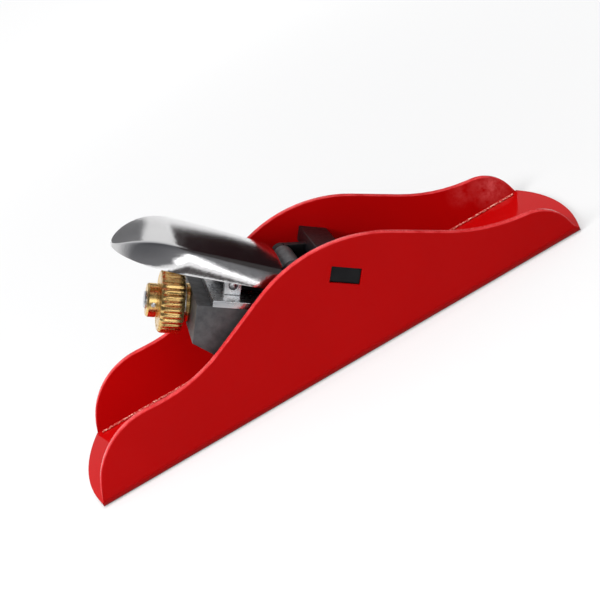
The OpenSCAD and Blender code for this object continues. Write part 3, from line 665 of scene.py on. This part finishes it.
# turned pieces: a half section of radius and height spun round z
def turnedMesh(name, section, steps=64, weld=1e-4):
    shape = bmesh.new()
    points = [shape.verts.new((r, 0, z)) for r, z in section]
    edges = [shape.edges.new(pair) for pair in zip(points, points[1:])]
    bmesh.ops.spin(shape, geom=points + edges, cent=(0, 0, 0), axis=(0, 0, 1),
                   angle=2 * math.pi, steps=steps)
    bmesh.ops.remove_doubles(shape, verts=shape.verts, dist=weld)
    bmesh.ops.recalc_face_normals(shape, faces=shape.faces)
    return meshOf(shape, name)


turnedLooks = {
    "lever_axle": {"piece": "leverAxle", "slot": "zinc_steel", "spot": axleFrame @ acrossTurn, "section": [
        (0, -12.6), (1.2, -12.6), (1.5, -12.3), (1.5, -12.0), (1.1, -12.0), (1.1, -11.4), (1.5, -11.4),
        (1.5, 11.4), (1.1, 11.4), (1.1, 12.0), (1.5, 12.0), (1.5, 12.3), (1.2, 12.6), (0, 12.6)]},
    "clamp_pivot": {
        "piece": "clampPivot", "slot": "zinc_steel", "spot": bedFrame @ moved(50, 0, 4.45) @ acrossTurn,
        "section": [
            (0, -12.3), (0.8, -12.25), (1.15, -12.05), (1.25, -11.8),
            (1.25, 11.8), (1.15, 12.05), (0.8, 12.25), (0, 12.3)]},
    "spring_rivet": {
        "piece": "springRivet", "slot": "zinc_steel", "spot": bedFrame @ moved(39, 0, 0),
        "section": [
            (0, 0.06), (0.85, 0.06), (0.9, 0.1), (0.9, 2.25), (1.62, 2.25), (1.7, 2.32), (1.55, 2.47),
            (1.1, 2.59), (0.5, 2.64), (0, 2.65)]},
    "spindle_bush": {"piece": "spindleBush", "slot": "brass", "spot": feedFrame, "section": [
        (2.55, 58.3), (2.8, 58.0), (3.7, 58.0), (4.0, 58.3), (4.0, 60.0), (5.35, 60.0), (5.5, 60.15),
        (5.5, 60.8), (5.3, 61.0), (4.3, 61.0), (4.15, 60.88), (3.9, 60.88), (3.75, 61.0), (2.75, 61.0),
        (2.55, 60.8), (2.55, 58.3)]},
    "thrust_washer": {"piece": "thrustWasher", "slot": "zinc_steel", "spot": feedFrame, "section": [
        (2.52, 61.2), (2.62, 61.1), (5.35, 61.1), (5.5, 61.25), (5.5, 61.65), (5.35, 61.8), (2.62, 61.8),
        (2.52, 61.7), (2.52, 61.2)]},
    "wheel_pin": {
        "piece": "wheelPin", "slot": "zinc_steel", "spot": feedFrame @ moved(0, 0, 70.05) @ acrossTurn,
        "section": [
            (0, -4.95), (0.4, -4.92), (0.7, -4.8), (0.8, -4.6),
            (0.8, 4.6), (0.7, 4.8), (0.4, 4.92), (0, 4.95)]},
}
for nodeName, turnedLook in turnedLooks.items():
    turnedPiece = newPiece(turnedLook["piece"], turnedMesh(turnedLook["piece"], turnedLook["section"]))
    place(turnedPiece, turnedLook["spot"])
    settle(turnedPiece, turnedLook["slot"], nodeName)
print("turned pieces made:", len(turnedLooks))

# feed wheel: a turned blank with flutes round its rim
wheelLook = {
    "form": {"Flutes": 30, "Depth": 0.42, "Rim": 9.0, "Sharp": 1.6, "Fade From": 0.9, "Fade To": 0.985},
    "steps": 240,
    "section": [
        (2.55, 61.8), (8.2, 61.8), (8.75, 62.2), (9.0, 62.7), (9.0, 64.0), (9.0, 66.1), (9.0, 67.4),
        (8.75, 67.9), (8.2, 68.3), (7.5, 68.3), (7.35, 68.15), (7.1, 68.15), (6.95, 68.3), (5.6, 68.3),
        (5.2, 68.1), (4.8, 68.3), (4.8, 68.9), (4.68, 69.0), (4.68, 69.15), (4.8, 69.25), (4.8, 71.3),
        (4.4, 71.8), (2.9, 71.8), (2.55, 71.5), (2.55, 61.8)],
}


def fluteTree(form):
    tree, sizes = newTree("rimFlutes", form)
    parts = addNode(tree, "ShaderNodeSeparateXYZ", {0: pointSpot(tree)}).outputs
    x, y = parts["X"], parts["Y"]
    squares = calc(tree, "ADD", calc(tree, "MULTIPLY", x, x), calc(tree, "MULTIPLY", y, y))
    radius = calc(tree, "SQRT", squares)
    wave = calc(tree, "COSINE", calc(tree, "MULTIPLY", calc(tree, "ARCTAN2", y, x), sizes["Flutes"]))
    groove = calc(tree, "POWER", calc(tree, "MULTIPLY_ADD", wave, 0.5, 0.5), sizes["Sharp"])
    near = addNode(tree, "ShaderNodeMapRange", {
        "Value": calc(tree, "DIVIDE", radius, sizes["Rim"]), "From Min": sizes["Fade From"],
        "From Max": sizes["Fade To"]}, interpolation_type="SMOOTHSTEP")
    cut = calc(tree, "MULTIPLY", calc(tree, "MULTIPLY", groove, near.outputs["Result"]), sizes["Depth"])
    scale = calc(tree, "SUBTRACT", 1.0, calc(tree, "DIVIDE", cut, radius))
    spot = newSpot(tree, calc(tree, "MULTIPLY", x, scale), calc(tree, "MULTIPLY", y, scale), parts["Z"])
    shaped = addNode(tree, "GeometryNodeSetPosition", {"Geometry": sizes["Geometry"], "Position": spot})
    endTree(tree, shaped.outputs["Geometry"], sizes["Finish"])
    return tree


def makeWheel(look):
    piece = newPiece("feedWheel", turnedMesh("feedWheel", look["section"], look["steps"]))
    runTree(piece, fluteTree(look["form"]), "brass", look["form"])
    place(piece, feedFrame)
    settle(piece, "brass", "feed_wheel")


makeWheel(wheelLook)
print("feed wheel made")

# feed screw: a turned shank and a left-hand thread wound round its core
screwLook = {
    "form": {
        "From": 42.3, "To": 56.4, "Pitch": 0.8, "Core": 2.05, "Crest": 2.47, "Around": 40, "Ridge Sides": 4},
    "section": [
        (0, 41.8), (1.7, 41.8), (2.05, 42.1), (2.05, 56.5), (2.5, 56.9), (2.5, 57.3), (2.1, 57.3),
        (2.1, 57.9), (2.5, 57.9), (2.5, 72.1), (2.2, 72.4), (0, 72.4)],
}


def threadTree(form):
    tree, sizes = newTree("leftHandThread", form)
    length = calc(tree, "SUBTRACT", sizes["To"], sizes["From"])
    coil = addNode(tree, "GeometryNodeCurveSpiral", {
        "Resolution": sizes["Around"], "Rotations": calc(tree, "DIVIDE", length, sizes["Pitch"]),
        "Start Radius": sizes["Core"], "End Radius": sizes["Core"], "Height": length, "Reverse": True})
    upright = addNode(tree, "GeometryNodeSetCurveNormal", {"Curve": coil.outputs["Curve"]}, mode="Z_UP")
    ridge = addNode(tree, "GeometryNodeCurvePrimitiveCircle", {
        "Resolution": sizes["Ridge Sides"], "Radius": calc(tree, "SUBTRACT", sizes["Crest"], sizes["Core"])})
    wound = addNode(tree, "GeometryNodeCurveToMesh", {
        "Curve": upright.outputs["Curve"], "Profile Curve": ridge.outputs["Curve"], "Fill Caps": True})
    raised = addNode(tree, "GeometryNodeTransform", {
        "Geometry": wound.outputs["Mesh"], "Translation": newSpot(tree, z=sizes["From"])})
    both = addNode(tree, "GeometryNodeJoinGeometry")
    for part in (sizes["Geometry"], raised.outputs["Geometry"]):
        fill(tree, both, {"Geometry": part})
    endTree(tree, both.outputs["Geometry"], sizes["Finish"])
    return tree


def makeFeedScrew(look):
    piece = newPiece("feedScrew", turnedMesh("feedScrew", look["section"]))
    runTree(piece, threadTree(look["form"]), "zinc_steel", look["form"])
    place(piece, feedFrame)
    settle(piece, "zinc_steel", "feed_spindle")


makeFeedScrew(screwLook)
print("feed screw made")

# fasteners: one shape set out in rows, each turned a little differently
rowForm = {"Count X": 1, "Count Y": 2, "Step X": 1.0, "Step Y": 1.0, "Turn": 0.0, "Seed": 3}
footRows = {"Count X": 2, "Step X": 15.0, "Step Y": 22.0, "Turn": 1.5}
cutReach = {"below": -1, "above": 9, "side": 5}  # past the faces that a cut goes through
fastenerLooks = {
    "frog_screws": {
        "piece": "frogScrews", "slot": "zinc_steel", "spot": moved(-4.5, 0, 0), "rows": footRows,
        "slotWide": 1.0, "slotFrom": -1, "slotTo": 0.65, "section": [
            (0, 0.02), (3.1, 0.02), (3.25, 0.12), (2.0, 1.3), (2.0, 6.5), (1.75, 6.8), (0, 6.8)]},
    "frog_nuts": {
        "piece": "frogNuts", "slot": "zinc_steel", "spot": moved(-4.5, 0, 3.6), "rows": footRows,
        "hexagon": 7.0, "section": [
            (2.02, 0.3), (2.3, 0.0), (3.45, 0.0), (4.1, 0.4), (4.1, 2.8), (3.45, 3.2), (2.45, 3.2),
            (2.02, 2.8), (2.02, 0.3)]},
    "guide_studs": {
        "piece": "guideStuds", "slot": "zinc_steel", "spot": bedFrame @ moved(28, 0, 0),
        "rows": {"Step Y": 27.0, "Turn": 1.5}, "slotWide": 0.7, "slotFrom": 2.6, "slotTo": 4, "section": [
            (0, -2.0), (1.3, -2.0), (1.5, -1.8), (1.5, 1.95), (2.45, 1.95), (2.6, 2.08), (2.6, 2.7),
            (2.45, 2.95), (2.1, 3.1), (0, 3.15)]},
    "blade_pins": {
        "piece": "bladePins", "slot": "zinc_steel", "spot": bedFrame @ moved(8.247, 0, 0),
        "rows": {"Step Y": 20.0}, "section": [
            (0, 0.05), (1.35, 0.05), (1.5, 0.2), (1.5, 2.4), (1.4, 2.62), (1.1, 2.75), (0, 2.75)]},
    "nut_screws": {
        "piece": "nutScrews", "slot": "zinc_steel", "spot": bedFrame @ moved(48, 0, 1.85) @ spun(180, "X"),
        "rows": {"Step Y": 5.2, "Turn": 1.2}, "slotWide": 0.62, "slotFrom": -1, "slotTo": 0.6, "section": [
            (0, 0.02), (2.15, 0.02), (2.27, 0.1), (1.25, 1.05), (1.25, 3.4), (1.05, 3.6), (0, 3.6)]},
}


def setOutTree(form):
    tree, sizes = newTree("setOut", form)
    index = addNode(tree, "GeometryNodeInputIndex").outputs[0]
    row = calc(tree, "FLOOR", calc(tree, "DIVIDE", index, sizes["Count Y"]))
    column = calc(tree, "SUBTRACT", index, calc(tree, "MULTIPLY", row, sizes["Count Y"]))

    def fromMiddle(number, axis):
        middle = calc(tree, "MULTIPLY", calc(tree, "SUBTRACT", sizes["Count " + axis], 1.0), 0.5)
        return calc(tree, "MULTIPLY", calc(tree, "SUBTRACT", number, middle), sizes["Step " + axis])

    points = addNode(tree, "GeometryNodePoints", {
        "Count": calc(tree, "MULTIPLY", sizes["Count X"], sizes["Count Y"]),
        "Position": newSpot(tree, fromMiddle(row, "X"), fromMiddle(column, "Y"))})
    chance = addNode(tree, "FunctionNodeRandomValue", {
        "Min": calc(tree, "MULTIPLY", sizes["Turn"], -1.0), "Max": sizes["Turn"], "Seed": sizes["Seed"]},
        data_type="FLOAT")
    rows = addNode(tree, "GeometryNodeInstanceOnPoints", {
        "Points": points.outputs[0], "Instance": sizes["Geometry"],
        "Rotation": newSpot(tree, z=chance.outputs["Value"])})
    endTree(tree, rows.outputs["Instances"], sizes["Finish"])
    return tree


def boxMesh(name, low, high):
    shape = bmesh.new()
    bmesh.ops.create_cube(shape, size=1)
    for v in shape.verts:
        v.co = [low[k] if v.co[k] < 0 else high[k] for k in range(3)]
    return meshOf(shape, name)


def combined(piece, otherMesh, operation):
    other = newPiece("cutter", otherMesh)
    cut = piece.modifiers.new("cut", "BOOLEAN")
    cut.operation, cut.solver, cut.object = operation, "EXACT", other
    bakeMesh(piece)
    bpy.data.objects.remove(other)


def makeFasteners(nodeName, look, tree):
    piece = newPiece(look["piece"], turnedMesh(look["piece"], look["section"], steps=48))
    below, above, side = cutReach["below"], cutReach["above"], cutReach["side"]
    if "hexagon" in look:
        corner = look["hexagon"] / math.sqrt(3)
        prism = turnedMesh("prism", [(0, below), (corner, below), (corner, above), (0, above)], steps=6)
        combined(piece, prism, "INTERSECT")
    if "slotWide" in look:
        half = look["slotWide"] / 2
        slot = boxMesh("slot", (-side, -half, look["slotFrom"]), (side, half, look["slotTo"]))
        combined(piece, slot, "DIFFERENCE")
    runTree(piece, tree, look["slot"], {**rowForm, **look["rows"]})
    place(piece, look["spot"])
    settle(piece, look["slot"], nodeName, sharper=25)


rowTree = setOutTree(rowForm)
for nodeName, fastenerLook in fastenerLooks.items():
    makeFasteners(nodeName, fastenerLook, rowTree)
print("fasteners made:", len(fastenerLooks))

# body: a run of paint pooled along each inside corner
beadForm = {
    "From": -73.0, "To": 73.0, "Away": 20.95, "Height": 1.95, "Radius": 0.34, "Sides": 8,
    "Waver": 0.9, "Ripple": 0.9, "Detail": 2.0, "Points": 320, "Seed": 4.0,
}


def beadTree(form):
    tree, sizes = newTree("cornerBead", form)
    runs = addNode(tree, "GeometryNodeJoinGeometry")
    for side in (-1.0, 1.0):
        away = calc(tree, "MULTIPLY", sizes["Away"], side)
        start, end = (newSpot(tree, sizes[name], away, sizes["Height"]) for name in ("From", "To"))
        line = addNode(tree, "GeometryNodeCurvePrimitiveLine", {"Start": start, "End": end})
        steps = addNode(tree, "GeometryNodeResampleCurve", {
            "Curve": line.outputs["Curve"], "Count": sizes["Points"]})
        noise = addNode(tree, "ShaderNodeTexNoise", {
            "Vector": pointSpot(tree), "W": sizes["Seed"], "Scale": sizes["Ripple"],
            "Detail": sizes["Detail"]}, noise_dimensions="4D")
        wave = calc(tree, "SUBTRACT", noise.outputs["Fac"], 0.5)
        ring = addNode(tree, "GeometryNodeCurvePrimitiveCircle", {
            "Resolution": sizes["Sides"], "Radius": sizes["Radius"]})
        tube = addNode(tree, "GeometryNodeCurveToMesh", {
            "Curve": steps.outputs["Curve"], "Profile Curve": ring.outputs["Curve"], "Fill Caps": True,
            "Scale": calc(tree, "MULTIPLY_ADD", wave, sizes["Waver"], 1.0)})
        fill(tree, runs, {"Geometry": tube.outputs["Mesh"]})
    endTree(tree, runs.outputs["Geometry"], sizes["Finish"])
    return tree


def makeBeads(form):
    piece = newPiece("cornerBeads")
    runTree(piece, beadTree(form), "seam", form)
    place(piece)
    smooth(piece.data)
    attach(piece, cadNodes["body_channel"]["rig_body"])


makeBeads(beadForm)
print("corner beads made")
